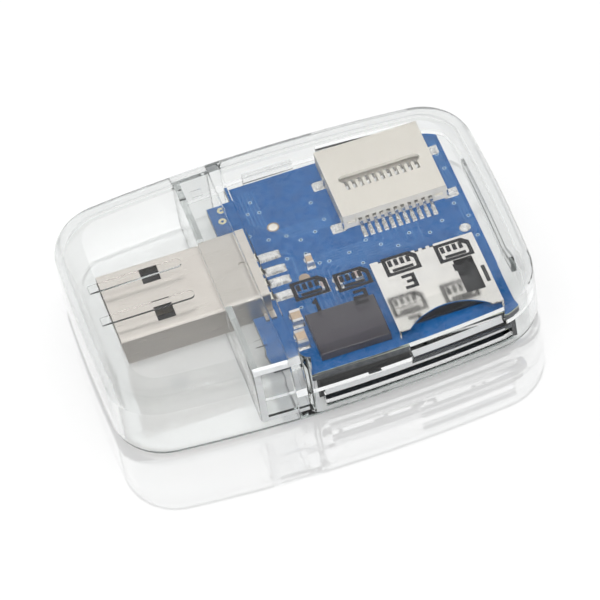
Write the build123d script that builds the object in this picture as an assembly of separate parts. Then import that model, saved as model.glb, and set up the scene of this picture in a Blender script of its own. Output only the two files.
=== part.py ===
from build123d import *
import os

# USB memory card reader in a clear case, millimetres.
# X runs along the length with the plug towards -X, Y to the back, Z up.
# The origin is the middle of the underside.

# Case form
SIDE_RADIUS = 190.0  # bow of the long sides in plan
END_RADIUS = 260.0  # bow of the two ends in plan
CORNER_RADIUS = 7.1
TOP_EDGE_RADIUS = 3.3
BOTTOM_EDGE_RADIUS = 2.0
LEAST_CORNER = 0.4  # of an outline that is moved inwards
WALL = 1.1

# Cap and the neck that it slides on
CAP_FIT = 0.3  # all round between the neck and the inside of the cap
SEAM_GAP = 0.15  # between the rim of the cap and the body
NECK_LENGTH = 4.6
NECK_WALL = 0.85
NECK_END_WALL = 0.9
NECK_EDGE = 0.6  # lead-in for the cap
STEP_WALL = 1.5  # end wall of the body, around the neck
CAVITY_CORNER = 1.6  # upright corners of the cavity beside that wall
PIP_SIZE = (1.4, 1.1, 0.15)  # grip pips on top of the neck
PIP_OFFSET = 13.6
RIB_WIDTH = 1.3
RIB_NECK_GAP = 2.8  # between a rib and the end of the neck
RIB_OFFSET = 2.85  # from the middle of the plug
RIB_HEIGHT = 0.3
RIB_END_GAP = 1.6  # between a rib and the end wall of the cap

# Circuit board
BOARD_THICK = 1.0
BOARD_OFFSET = 0.35  # the board and the plug sit towards the back
BOARD_SIDE_GAP = 1.5
BOARD_END_GAP = 2.8
BOARD_CORNER_GAP = 0.4
BOARD_STEP_GAP = 0.2
BOARD_ARM_LENGTH = 3.1
BOARD_ARM_REACH = 14.0

# USB plug
PLUG_WIDTH = 12.0
PLUG_HEIGHT = 4.5
PLUG_REACH = 13.2  # beyond the neck
PLUG_TIP_GAP = 3.0  # between the plug and the end wall of the cap
PLUG_REAR = 1.3  # beyond the seam, into the body
PLUG_SINK = 1.05  # below the top of the board
PLUG_SHEET = 0.3
PLUG_CORNER = 0.6
PLUG_GAP = 0.1
PLUG_WINDOW = 2.3
PLUG_WINDOW_SETBACK = 5.2
PLUG_WINDOW_OFFSET = 3.3
PLUG_DIMPLE_RADIUS = 0.45
PLUG_DIMPLE_SETBACK = 1.8
PLUG_EAR = (1.4, 1.2)
TONGUE_HEIGHT = 1.9
TONGUE_GAP = 0.05
TONGUE_SETBACK = 0.5
TONGUE_REAR = 1.2
PIN_OFFSETS = (-3.5, -1.0, 1.0, 3.5)
PIN_WIDTH = 1.0
PIN_SHEET = 0.15
PIN_SETBACKS = (1.0, 2.0, 2.0, 1.0)
PIN_TAIL_WIDTH = 1.2
PIN_TAIL_LENGTH = 3.4

# Rear socket, for the smallest stick card
REAR_WIDTH = 13.5
REAR_DEPTH = 12.1
REAR_HEIGHT = 2.2
REAR_END_GAP = 2.1  # from the right end of the board
REAR_EDGE_GAP = 0.35  # from the back edge of the board
REAR_FLOOR = 0.35
REAR_ROOF = 0.45
REAR_SIDE = 0.5
REAR_FRONT = 1.2
REAR_PINS = 11
REAR_PITCH = 0.915
REAR_PIN_WIDTH = 0.42
REAR_PIN_LIFT = 0.85
REAR_LEAD = 2.0
REAR_PIN_RISE = 0.4
REAR_WINDOW = (10.6, 1.25)
REAR_WINDOW_SETBACK = 6.15
REAR_NOTCH = (0.5, 1.25)
REAR_RECESS = (1.1, 0.3, 0.7)  # at both ends of the front face
REAR_TAB = (1.1, 1.2, 1.3)
REAR_TAB_SETBACKS = (3.1, 11.0)

# Front socket, for the thumbnail card
FRONT_WIDTH = 13.3
FRONT_DEPTH = 11.6
FRONT_HEIGHT = 1.75
FRONT_END_GAP = 1.6
FRONT_EDGE_GAP = 0.5
FRONT_FLOOR = 0.4
FRONT_SIDE = 0.7
FRONT_BACK = 1.4
FRONT_CHORD = 10.4  # finger cut in the front edge of the shell
FRONT_SAGITTA = 1.9
FRONT_WINDOW = (2.4, 5.5)
FRONT_WINDOW_PLACE = (1.3, 3.65)  # from the right side and from the back
FRONT_SLIT = (0.5, 2.6)
FRONT_SLIT_PLACE = (0.35, 5.8)
FRONT_PINS = 8
FRONT_PITCH = 0.95
FRONT_PIN_WIDTH = 0.5
FRONT_PIN_INSET = 1.3
FRONT_LEAD = 0.9
FRONT_PIN_RISE = 0.35
SOCKET_GAP = 8.45  # between the front socket and the rear one
SHEET = 0.2  # steel of the two card shells and of all leads

# Lower socket, for the large card, under the board
LOWER_WIDTH = 25.6
LOWER_DEPTH = 22.0
LOWER_HEIGHT = 3.3
LOWER_START_GAP = 1.1
LOWER_END_GAP = 0.8
LOWER_EDGE_GAP = 0.1
LOWER_FLOOR_GAP = 0.25
LOWER_SIDE = 0.6
LOWER_ROOF = 0.3
LOWER_BACK = 3.0
LOWER_POCKET = 2.2
LOWER_PINS = 9
LOWER_PITCH = 2.5
LOWER_PIN_WIDTH = 0.9
LOWER_PIN_REACH = 6.0
LOWER_PIN_DROP = 0.6
LOWER_LEAD = 1.5
LOWER_PEG_RADIUS = 0.6
LOWER_PEG_SPAN = 20.9
LOWER_PEG_SHIFT = 1.4  # the pegs sit right of the middle
LOWER_PEG_SETBACK = 14.7
PEG_FIT = 0.1

# Openings of the case and what carries the board
PARTING_DROP = 0.45  # the case parts this far below the top of the board
PARTING_GAP = 0.04
SLOT_FIT = 0.1
FRONT_SLOT_WIDTH = 12.4
FRONT_SLOT_HEIGHT = 2.0
REAR_SLOT_WIDTH = 12.4
SLOT_SIDE_FIT = 0.15
LEDGE_DROP = 0.1
LEDGE_EDGE = 0.3
LOWER_SLOT_WIDTH = 24.4
LIP_SHEET = 0.7
LIP_FIT = 0.15
LIP_RISE = 1.4
LIP_ROOT = 1.2
END_LIP_WIDTH = 18.4
SIDE_LIP_WIDTH = 6.5
SIDE_LIP_SETBACK = 2.6
POST_SIZE = 1.5
POST_FIT = 0.05
POST_INSET = (1.7, 2.4)  # from the left end and the long edges of the board

# Parts on the board
CHIP_SIZE = (8.9, 6.6, 1.05)
CHIP_START_GAP = 2.8  # from the left end of the board
CHIP_EDGE_GAP = 1.25  # from the front edge of the board
CHIP_GAP = 0.9  # between the chip and the front socket
CHIP_EDGE = 0.1
CAPACITOR_SIZE = (1.25, 2.0, 0.9)
CAPACITOR_PLACES = ((1.45, 5.0), (1.9, 8.4))
RESISTOR_SIZE = (0.8, 1.6, 0.5)
RESISTOR_PLACES = ((6.75, 12.4), (8.4, 12.2), (11.1, 12.4))
BYPASS_SIZE = (0.8, 1.6, 0.8)
BYPASS_PLACE = (6.2, 16.9)
TERMINAL_SHARE = 0.2
TERMINAL_LIP = 0.03
SOLDER = 0.05

# Widths across and levels from the floor of the case up
BOARD_WIDTH = FRONT_EDGE_GAP + FRONT_DEPTH + SOCKET_GAP + REAR_DEPTH + REAR_EDGE_GAP
CASE_WIDTH = BOARD_WIDTH + 2 * (BOARD_SIDE_GAP + WALL)
LOWER_Z = WALL + LOWER_FLOOR_GAP
BOARD_Z = LOWER_Z + LOWER_HEIGHT
BOARD_TOP = BOARD_Z + BOARD_THICK
PLUG_Z = BOARD_TOP - PLUG_SINK
PLUG_TOP = PLUG_Z + PLUG_HEIGHT
CASE_HEIGHT = PLUG_TOP + PLUG_GAP + NECK_WALL + CAP_FIT + WALL
PARTING_Z = BOARD_TOP - PARTING_DROP
ROOF_Z = CASE_HEIGHT - WALL

# Lengths: the board is as long as the longer of the rows above and below it
UPPER_ROW = CHIP_START_GAP + CHIP_SIZE[0] + CHIP_GAP + FRONT_WIDTH + FRONT_END_GAP
LOWER_ROW = LOWER_START_GAP + LOWER_WIDTH + LOWER_END_GAP
BOARD_LENGTH = max(UPPER_ROW, LOWER_ROW)
BODY_LENGTH = STEP_WALL + BOARD_STEP_GAP + BOARD_LENGTH + BOARD_END_GAP + WALL
CAP_LENGTH = WALL + PLUG_TIP_GAP + PLUG_REACH + NECK_LENGTH
RIB_LENGTH = CAP_LENGTH - WALL - RIB_END_GAP - RIB_NECK_GAP - NECK_LENGTH
CASE_LENGTH = CAP_LENGTH + BODY_LENGTH

# Places along the length
LEFT_X = -CASE_LENGTH / 2
RIGHT_X = CASE_LENGTH / 2
SEAM_X = LEFT_X + CAP_LENGTH
STEP_X = SEAM_X + STEP_WALL
NECK_X = SEAM_X - NECK_LENGTH
TIP_X = NECK_X - PLUG_REACH
PLUG_REAR_X = SEAM_X + PLUG_REAR
BOARD_LEFT = STEP_X + BOARD_STEP_GAP
BOARD_RIGHT = BOARD_LEFT + BOARD_LENGTH
BOARD_FRONT = BOARD_OFFSET - BOARD_WIDTH / 2
BOARD_BACK = BOARD_OFFSET + BOARD_WIDTH / 2
REAR_RIGHT = BOARD_RIGHT - REAR_END_GAP
REAR_MID = REAR_RIGHT - REAR_WIDTH / 2
REAR_BACK_Y = BOARD_BACK - REAR_EDGE_GAP
REAR_FRONT_Y = REAR_BACK_Y - REAR_DEPTH
FRONT_RIGHT = BOARD_RIGHT - FRONT_END_GAP
FRONT_MID = FRONT_RIGHT - FRONT_WIDTH / 2
FRONT_FRONT_Y = BOARD_FRONT + FRONT_EDGE_GAP
FRONT_BACK_Y = FRONT_FRONT_Y + FRONT_DEPTH
LOWER_RIGHT = BOARD_RIGHT - LOWER_END_GAP
LOWER_MID = LOWER_RIGHT - LOWER_WIDTH / 2
LOWER_FRONT_Y = BOARD_FRONT + LOWER_EDGE_GAP
LOWER_BACK_Y = LOWER_FRONT_Y + LOWER_DEPTH
POCKET_Z = BOARD_Z - LOWER_ROOF - LOWER_POCKET
SLOT_Z = POCKET_Z + SLOT_FIT
SLOT_TOP = SLOT_Z + LOWER_POCKET - 2 * SLOT_FIT
PEG_Y = LOWER_FRONT_Y + LOWER_PEG_SETBACK
PEG_MID = LOWER_MID + LOWER_PEG_SHIFT


def block(x0, x1, y0, y1, z0, z1):
    """Box between two opposite corners."""
    return Pos((x0 + x1) / 2, (y0 + y1) / 2, (z0 + z1) / 2) * Box(x1 - x0, y1 - y0, z1 - z0)


def upright(x, y, radius, z0, z1):
    """Round post between two levels."""
    return Pos(x, y, (z0 + z1) / 2) * Cylinder(radius, z1 - z0)


def strip(points, sheet, x, width):
    """Sheet metal strip, bent along points in Y and Z, about a middle in X."""
    start = Plane(origin=(x - width / 2, 0, 0), x_dir=(0, 1, 0), z_dir=(1, 0, 0))
    return extrude(start * trace(Polyline(*points), sheet), width)


def slab(x0, x1):
    """Stretch of space along X that is wider and taller than the case."""
    return block(x0, x1, -CASE_WIDTH, CASE_WIDTH, -CASE_HEIGHT, 2 * CASE_HEIGHT)


def layer(z0, z1):
    """Stretch of space along Z that is longer and wider than the case."""
    return block(-CASE_LENGTH, CASE_LENGTH, -CASE_WIDTH, CASE_WIDTH, z0, z1)


def row(count, pitch, middle):
    """Places of a row of equal steps about a middle."""
    return [middle + pitch * (index - (count - 1) / 2) for index in range(count)]


# Case form

def plan(inset):
    """Plan outline of the case: four bowed sides with round corners, moved inwards."""
    side = Circle(SIDE_RADIUS - inset)
    end = Circle(END_RADIUS - inset)
    side_shift = SIDE_RADIUS - CASE_WIDTH / 2
    end_shift = END_RADIUS - CASE_LENGTH / 2
    across = Pos(0, side_shift) * side & Pos(0, -side_shift) * side
    along = Pos(end_shift, 0) * end & Pos(-end_shift, 0) * end
    face = across & along
    return fillet(face.vertices(), max(CORNER_RADIUS - inset, LEAST_CORNER))


def form(inset):
    """The case form as one solid with sharp edges, moved inwards all round."""
    return extrude(Pos(0, 0, inset) * plan(inset), CASE_HEIGHT - 2 * inset)


def rounded(solid, top_radius, bottom_radius):
    """The same solid with its top and bottom edges rounded."""
    solid = fillet(solid.edges().group_by(Axis.Z)[-1], top_radius)
    return fillet(solid.edges().group_by(Axis.Z)[0], bottom_radius)


def make_cap(outside, inside):
    """Clear cap, open towards the body, with two low ribs inside its roof, over the plug."""
    cap = outside & slab(LEFT_X - WALL, SEAM_X - SEAM_GAP)
    cap -= inside
    rib_x0 = LEFT_X + WALL + RIB_END_GAP
    rib_z = ROOF_Z - RIB_HEIGHT
    for side in (-1, 1):
        rib_y = BOARD_OFFSET + side * RIB_OFFSET
        straight = RIB_LENGTH - RIB_WIDTH / 2
        rib = Pos(straight / 2, 0) * Rectangle(straight, RIB_WIDTH) + Pos(straight, 0) * Circle(RIB_WIDTH / 2)
        cap += extrude(Pos(rib_x0, rib_y, rib_z) * rib, RIB_HEIGHT + WALL / 2)
    return cap


def make_body(outside, inside):
    """Both case halves in one: the body, the neck for the cap and the way for the plug."""
    neck_inset = WALL + CAP_FIT
    neck = form(neck_inset)
    rims = neck.edges().group_by(Axis.Z)
    neck = chamfer(rims[0] + rims[-1], NECK_EDGE) & slab(NECK_X, STEP_X)
    body = (outside & slab(SEAM_X, RIGHT_X + WALL)) + neck
    cavity = inside & slab(STEP_X, RIGHT_X)
    body -= fillet(cavity.edges().filter_by(Axis.Z).group_by(Axis.X)[0], CAVITY_CORNER)
    body -= form(neck_inset + NECK_WALL) & slab(NECK_X + NECK_END_WALL, STEP_X + WALL)
    half_hole = PLUG_WIDTH / 2 + PLUG_GAP
    hole_y0 = BOARD_OFFSET - half_hole
    hole_y1 = BOARD_OFFSET + half_hole
    body -= block(NECK_X - WALL, STEP_X, hole_y0, hole_y1, PLUG_Z - PLUG_GAP, PLUG_TOP + PLUG_GAP)
    return body


def make_post(x, y):
    """Square moulded post under the board."""
    half = POST_SIZE / 2
    return block(x - half, x + half, y - half, y + half, WALL / 2, BOARD_Z - POST_FIT)


def make_top_case(body):
    """Upper half with the mouth of the front slot and of the rear slot."""
    top = body & layer(PARTING_Z, 2 * CASE_HEIGHT)
    front_x0 = FRONT_MID - FRONT_SLOT_WIDTH / 2
    front_x1 = FRONT_MID + FRONT_SLOT_WIDTH / 2
    top -= block(front_x0, front_x1, -CASE_WIDTH, FRONT_FRONT_Y, 0, BOARD_TOP + FRONT_SLOT_HEIGHT)
    rear_x0 = REAR_MID - REAR_SLOT_WIDTH / 2
    rear_x1 = REAR_MID + REAR_SLOT_WIDTH / 2
    rear_z0 = BOARD_TOP + REAR_FLOOR - SLOT_FIT
    rear_z1 = BOARD_TOP + REAR_HEIGHT - REAR_ROOF + SLOT_FIT
    top -= block(rear_x0, rear_x1, REAR_BACK_Y + SLOT_FIT, CASE_WIDTH, rear_z0, rear_z1)
    pip_x = (NECK_X + SEAM_X) / 2
    pip_z = ROOF_Z - CAP_FIT
    for side in (-1, 1):
        pip_y = side * PIP_OFFSET
        top += Pos(pip_x, pip_y, pip_z) * Box(PIP_SIZE[0], PIP_SIZE[1], 2 * PIP_SIZE[2])
    return top


def make_lips():
    """Tongues at the end and the back of the lower half that stand inside the wall of the upper half."""
    z0 = PARTING_Z - LIP_ROOT
    z1 = PARTING_Z + LIP_RISE
    end_bow = (END_LIP_WIDTH / 2) ** 2 / (2 * END_RADIUS)
    end_x = RIGHT_X - WALL - end_bow - LIP_FIT
    half = END_LIP_WIDTH / 2
    lips = block(end_x - LIP_SHEET, end_x, -half, half, z0, z1)
    lips += block(end_x - LIP_SHEET, RIGHT_X - WALL / 2, -half, half, z0, PARTING_Z - PARTING_GAP)
    side_y = CASE_WIDTH / 2 - WALL - LIP_FIT
    x0 = BOARD_LEFT + SIDE_LIP_SETBACK
    x1 = x0 + SIDE_LIP_WIDTH
    lips += block(x0, x1, side_y - LIP_SHEET, side_y, z0, z1)
    lips += block(x0, x1, side_y - LIP_SHEET, CASE_WIDTH / 2 - WALL / 2, z0, PARTING_Z - PARTING_GAP)
    return lips


def make_bottom_case(body, outside):
    """Lower half: slot for the large card, ledge under the front slot, posts and lips."""
    bottom = body & layer(-CASE_HEIGHT, PARTING_Z - PARTING_GAP)
    bottom += make_lips()
    for x in (BOARD_LEFT + POST_INSET[0], REAR_RIGHT - REAR_WIDTH - REAR_TAB[1] - POST_INSET[0]):
        bottom += make_post(x, BOARD_BACK - POST_INSET[1])
    slot_x0 = LOWER_MID - LOWER_SLOT_WIDTH / 2
    slot_x1 = LOWER_MID + LOWER_SLOT_WIDTH / 2
    half = FRONT_SLOT_WIDTH / 2 - SLOT_SIDE_FIT
    ledge_y = BOARD_FRONT - BOARD_STEP_GAP
    ledge = block(FRONT_MID - half, FRONT_MID + half, -CASE_WIDTH, ledge_y, SLOT_TOP, BOARD_TOP - LEDGE_DROP)
    ledge = ledge & outside
    ledge = fillet(ledge.edges().group_by(Axis.Z)[-1].filter_by(GeomType.LINE), LEDGE_EDGE)
    bottom += ledge
    bottom -= block(slot_x0, slot_x1, -CASE_WIDTH, LOWER_FRONT_Y, SLOT_Z, SLOT_TOP)
    return bottom


# Circuit board and the small parts on it

def make_board():
    """Board with two arms beside the plug, following the corners of the case."""
    main = Pos(BOARD_LEFT + BOARD_LENGTH / 2, BOARD_OFFSET) * Rectangle(BOARD_LENGTH, BOARD_WIDTH)
    main = main & plan(WALL + BOARD_CORNER_GAP)
    arm_mid = BOARD_LEFT - BOARD_ARM_LENGTH / 2 + BOARD_STEP_GAP / 2
    arms = Pos(arm_mid, BOARD_OFFSET) * Rectangle(BOARD_ARM_LENGTH + BOARD_STEP_GAP, 2 * BOARD_ARM_REACH)
    notch_length = 2 * (BOARD_LEFT - PLUG_REAR_X + BOARD_ARM_LENGTH)
    notch_x = PLUG_REAR_X + PLUG_GAP - notch_length / 2
    notch = Pos(notch_x, BOARD_OFFSET) * Rectangle(notch_length, PLUG_WIDTH + 2 * PLUG_GAP)
    face = main + arms - notch
    for side in (-1, 1):
        peg_x = PEG_MID + side * LOWER_PEG_SPAN / 2
        face -= Pos(peg_x, PEG_Y) * Circle(LOWER_PEG_RADIUS + PEG_FIT)
    return extrude(Pos(0, 0, BOARD_Z) * face, BOARD_THICK)


def make_chip():
    """Controller chip, a flat moulded package with a chamfered top."""
    length, width, height = CHIP_SIZE
    x = BOARD_LEFT + CHIP_START_GAP + length / 2
    y = BOARD_FRONT + CHIP_EDGE_GAP + width / 2
    chip = Pos(x, y, BOARD_TOP + SOLDER + height / 2) * Box(length, width, height)
    return chamfer(chip.edges().group_by(Axis.Z)[-1], CHIP_EDGE)


def make_two_terminal(place, size):
    """Chip capacitor or resistor: a body along Y with a slightly thicker terminal at each end."""
    x = BOARD_LEFT + place[0]
    y = BOARD_FRONT + place[1]
    base_z = BOARD_TOP + SOLDER
    width, length, height = size
    part = Pos(x, y, base_z + height / 2) * Box(width, length, height)
    end = TERMINAL_SHARE * length
    lift = height + TERMINAL_LIP
    for side in (-1, 1):
        end_y = y + side * (length - end) / 2
        part += Pos(x, end_y, base_z + lift / 2) * Box(width + 2 * TERMINAL_LIP, end, lift)
    return part


# USB plug

def plug_section(inset):
    """Cross-section of the plug shell, moved inwards."""
    width = PLUG_WIDTH - 2 * inset
    height = PLUG_HEIGHT - 2 * inset
    return RectangleRounded(width, height, max(PLUG_CORNER - inset, PLUG_SHEET / 2))


def make_plug_shell():
    """Folded steel shell with windows on both faces, a dimple and two solder ears."""
    length = PLUG_REAR_X - TIP_X
    mid_z = PLUG_Z + PLUG_HEIGHT / 2
    start = Plane(origin=(TIP_X, BOARD_OFFSET, mid_z), x_dir=(0, 1, 0), z_dir=(1, 0, 0))
    shell = extrude(start * plug_section(0), length) - extrude(start * plug_section(PLUG_SHEET), length)
    window_x = TIP_X + PLUG_WINDOW_SETBACK + PLUG_WINDOW / 2
    for side in (-1, 1):
        window_y = BOARD_OFFSET + side * PLUG_WINDOW_OFFSET
        shell -= Pos(window_x, window_y, mid_z) * Box(PLUG_WINDOW, PLUG_WINDOW, 2 * PLUG_HEIGHT)
        ear_x1 = BOARD_LEFT - BOARD_STEP_GAP - PLUG_GAP
        ear_x0 = ear_x1 - PLUG_EAR[0]
        inner = BOARD_OFFSET + side * (PLUG_WIDTH / 2 - PLUG_SHEET / 2)
        outer = BOARD_OFFSET + side * (PLUG_WIDTH / 2 + PLUG_EAR[1])
        shell += block(ear_x0, ear_x1, min(inner, outer), max(inner, outer), BOARD_TOP, BOARD_TOP + PLUG_SHEET)
    dimple_x = PLUG_REAR_X - PLUG_DIMPLE_SETBACK
    return shell - upright(dimple_x, BOARD_OFFSET, PLUG_DIMPLE_RADIUS, PLUG_TOP - PLUG_SHEET / 3, PLUG_TOP + PLUG_GAP)


TONGUE_X0 = TIP_X + TONGUE_SETBACK
TONGUE_X1 = PLUG_REAR_X - TONGUE_REAR
TONGUE_Z = PLUG_Z + PLUG_SHEET + TONGUE_GAP
TONGUE_TOP = TONGUE_Z + TONGUE_HEIGHT


def make_plug_tongue():
    """Plastic tongue in the lower half of the plug, grooved for the contacts."""
    half = PLUG_WIDTH / 2 - PLUG_SHEET - TONGUE_GAP
    tongue = block(TONGUE_X0, TONGUE_X1, BOARD_OFFSET - half, BOARD_OFFSET + half, TONGUE_Z, TONGUE_TOP)
    lower_edges = tongue.edges().filter_by(Axis.X).group_by(Axis.Z)[0]
    tongue = fillet(lower_edges, max(PLUG_CORNER - PLUG_SHEET, PLUG_SHEET / 2))
    tip_edge = tongue.edges().filter_by(Axis.Y).group_by(Axis.X)[0].sort_by(Axis.Z)[-1]
    tongue = chamfer(tip_edge, PLUG_SHEET)
    for offset, setback in zip(PIN_OFFSETS, PIN_SETBACKS):
        y = BOARD_OFFSET + offset
        groove_half = PIN_WIDTH / 2 + TONGUE_GAP
        x0 = TIP_X + setback - TONGUE_GAP
        tongue -= block(x0, TONGUE_X1, y - groove_half, y + groove_half, TONGUE_TOP - PIN_SHEET, TONGUE_TOP + WALL)
    return tongue


def make_plug_contact(offset, setback):
    """Flat contact on the tongue that steps down behind it to a wider tail on the board."""
    y = BOARD_OFFSET + offset
    blade_z = TONGUE_TOP - PIN_SHEET / 2
    tail_z = BOARD_TOP + PIN_SHEET / 2
    drop_x = TONGUE_X1 + TONGUE_GAP + PIN_SHEET / 2
    tail_x = PLUG_REAR_X + PIN_TAIL_LENGTH
    path = Polyline((TIP_X + setback, blade_z), (drop_x, blade_z), (drop_x, tail_z), (tail_x, tail_z))
    side = Plane(origin=(0, y, 0), x_dir=(1, 0, 0), z_dir=(0, -1, 0))
    contact = extrude(side * trace(path, PIN_SHEET), PIN_WIDTH / 2, both=True)
    tail_half = PIN_TAIL_WIDTH / 2
    return contact + block(PLUG_REAR_X, tail_x, y - tail_half, y + tail_half, BOARD_TOP, BOARD_TOP + PIN_SHEET)


# Rear socket

def make_rear_housing():
    """Moulded housing open to the back, with a toothed window and a slot for each contact."""
    x0 = REAR_RIGHT - REAR_WIDTH
    roof_z = BOARD_TOP + REAR_HEIGHT
    housing = block(x0, REAR_RIGHT, REAR_FRONT_Y, REAR_BACK_Y, BOARD_TOP, roof_z)
    pocket_z0 = BOARD_TOP + REAR_FLOOR
    pocket_z1 = roof_z - REAR_ROOF
    pocket_y0 = REAR_FRONT_Y + REAR_FRONT
    housing -= block(x0 + REAR_SIDE, REAR_RIGHT - REAR_SIDE, pocket_y0, CASE_WIDTH, pocket_z0, pocket_z1)
    window_y = REAR_FRONT_Y + REAR_WINDOW_SETBACK
    housing -= extrude(Pos(REAR_MID, window_y, pocket_z1 - REAR_ROOF) * SlotOverall(*REAR_WINDOW), 3 * REAR_ROOF)
    notch_y = window_y - (REAR_WINDOW[1] + REAR_NOTCH[1]) / 2
    slot_z0 = BOARD_TOP + REAR_PIN_LIFT - SHEET / 2
    slot_z1 = BOARD_TOP + REAR_PIN_LIFT + 2 * SHEET
    for x in row(REAR_PINS, REAR_PITCH, REAR_MID):
        housing -= Pos(x, notch_y, roof_z) * Box(REAR_NOTCH[0], REAR_NOTCH[1] + SHEET, 2 * REAR_ROOF)
        half = REAR_NOTCH[0] / 2
        housing -= block(x - half, x + half, REAR_FRONT_Y - SHEET, pocket_y0 + SHEET, slot_z0, slot_z1)
    for side in (-1, 1):
        recess_x = REAR_MID + side * (REAR_WIDTH / 2 - REAR_SIDE - REAR_RECESS[0] / 2)
        recess = Box(REAR_RECESS[0], 2 * REAR_RECESS[1], REAR_RECESS[2])
        housing -= Pos(recess_x, REAR_FRONT_Y, BOARD_TOP + REAR_HEIGHT / 2) * recess
    return housing


def make_rear_contact(x):
    """Spring contact that leaves through the front of the housing and stands on the board."""
    foot_z = BOARD_TOP + SHEET / 2
    arm_z = BOARD_TOP + REAR_PIN_LIFT + SHEET / 2
    knee_y = REAR_FRONT_Y - 2 * SHEET
    root_y = REAR_FRONT_Y + REAR_FRONT
    crest_y = REAR_FRONT_Y + REAR_WINDOW_SETBACK - REAR_WINDOW[1] / 2
    points = [
        (REAR_FRONT_Y - REAR_LEAD, foot_z),
        (knee_y - SHEET, foot_z),
        (knee_y, arm_z),
        (root_y, arm_z),
        (crest_y, arm_z + REAR_PIN_RISE),
        (crest_y + REAR_WINDOW[1], arm_z),
    ]
    return strip(points, SHEET, x, REAR_PIN_WIDTH)


def make_rear_tab(side, setback):
    """Solder tab: a foot on the board and a flap against the side of the housing."""
    width, reach, height = REAR_TAB
    wall_x = REAR_MID + side * REAR_WIDTH / 2
    foot_x = wall_x + side * reach
    flap_x = wall_x + side * SHEET
    y1 = REAR_BACK_Y - setback
    y0 = y1 - width
    tab = block(min(wall_x, foot_x), max(wall_x, foot_x), y0, y1, BOARD_TOP, BOARD_TOP + SHEET)
    return tab + block(min(wall_x, flap_x), max(wall_x, flap_x), y0, y1, BOARD_TOP, BOARD_TOP + height)


# Front socket

FRONT_X0 = FRONT_RIGHT - FRONT_WIDTH
FRONT_TOP = BOARD_TOP + FRONT_HEIGHT
FRONT_PIN_MID = FRONT_X0 + FRONT_PIN_INSET + FRONT_PITCH * (FRONT_PINS - 1) / 2


def make_front_base():
    """Plastic base: a floor with side rails and a back bar, open to the front."""
    x0 = FRONT_X0 + SHEET
    x1 = FRONT_RIGHT - SHEET
    base_top = FRONT_TOP - SHEET
    base = block(x0, x1, FRONT_FRONT_Y + FRONT_SAGITTA, FRONT_BACK_Y, BOARD_TOP, base_top)
    pocket_x0 = x0 + FRONT_SIDE
    pocket_x1 = x1 - FRONT_SIDE
    pocket_y1 = FRONT_BACK_Y - FRONT_BACK
    base -= block(pocket_x0, pocket_x1, -CASE_WIDTH, pocket_y1, BOARD_TOP + FRONT_FLOOR, CASE_HEIGHT)
    for x in row(FRONT_PINS, FRONT_PITCH, FRONT_PIN_MID):
        half = FRONT_PIN_WIDTH / 2 + TONGUE_GAP
        base -= block(x - half, x + half, pocket_y1 - SHEET, CASE_WIDTH, BOARD_TOP, BOARD_TOP + FRONT_FLOOR + SHEET)
    return base


def make_front_shell():
    """Stamped steel shell with a finger cut, a window and a slit, castellated at the back."""
    shell = block(FRONT_X0, FRONT_RIGHT, FRONT_FRONT_Y, FRONT_BACK_Y, BOARD_TOP, FRONT_TOP)
    shell -= block(FRONT_X0 + SHEET, FRONT_RIGHT - SHEET, -CASE_WIDTH, CASE_WIDTH, 0, FRONT_TOP - SHEET)
    radius = (FRONT_CHORD ** 2 / 4 + FRONT_SAGITTA ** 2) / (2 * FRONT_SAGITTA)
    cut_y = FRONT_FRONT_Y + FRONT_SAGITTA - radius
    shell -= upright(FRONT_MID, cut_y, radius, BOARD_TOP, FRONT_TOP + SHEET)
    for size, place in ((FRONT_WINDOW, FRONT_WINDOW_PLACE), (FRONT_SLIT, FRONT_SLIT_PLACE)):
        x1 = FRONT_RIGHT - place[0]
        y1 = FRONT_BACK_Y - place[1]
        shell -= block(x1 - size[0], x1, y1 - size[1], y1, FRONT_TOP - 2 * SHEET, FRONT_TOP + SHEET)
    for x in row(FRONT_PINS, FRONT_PITCH, FRONT_PIN_MID):
        half = FRONT_PIN_WIDTH / 2
        shell -= block(x - half, x + half, FRONT_BACK_Y - 2 * SHEET, CASE_WIDTH, FRONT_TOP - 2 * SHEET, CASE_HEIGHT)
    return shell


def make_front_contact(x):
    """Spring contact over the floor of the base, with a foot behind it on the board."""
    foot_z = BOARD_TOP + SHEET / 2
    arm_z = BOARD_TOP + FRONT_FLOOR + SHEET / 2
    root_y = FRONT_BACK_Y - FRONT_BACK
    crest_y = FRONT_BACK_Y - FRONT_DEPTH / 2
    points = [
        (FRONT_BACK_Y + FRONT_LEAD, foot_z),
        (FRONT_BACK_Y, foot_z),
        (FRONT_BACK_Y - SHEET, arm_z),
        (root_y, arm_z),
        (crest_y, arm_z + FRONT_PIN_RISE),
        (crest_y - FRONT_LEAD, arm_z),
    ]
    return strip(points, SHEET, x, FRONT_PIN_WIDTH)


# Lower socket

def make_lower_frame():
    """Plastic frame under the board: a roof, two rails and a back bar, with two pegs."""
    x0 = LOWER_RIGHT - LOWER_WIDTH
    frame = block(x0, LOWER_RIGHT, LOWER_FRONT_Y, LOWER_BACK_Y, LOWER_Z + SHEET, BOARD_Z)
    pocket_y1 = LOWER_BACK_Y - LOWER_BACK
    frame -= block(x0 + LOWER_SIDE, LOWER_RIGHT - LOWER_SIDE, -CASE_WIDTH, pocket_y1, 0, BOARD_Z - LOWER_ROOF)
    for x in row(LOWER_PINS, LOWER_PITCH, LOWER_MID):
        half = LOWER_PIN_WIDTH / 2 + TONGUE_GAP
        frame -= block(x - half, x + half, pocket_y1 - SHEET, CASE_WIDTH, BOARD_Z - LOWER_ROOF - 2 * SHEET, BOARD_Z)
    for side in (-1, 1):
        peg_x = PEG_MID + side * LOWER_PEG_SPAN / 2
        frame += upright(peg_x, PEG_Y, LOWER_PEG_RADIUS, BOARD_Z - LOWER_ROOF, BOARD_TOP)
    return frame


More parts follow.
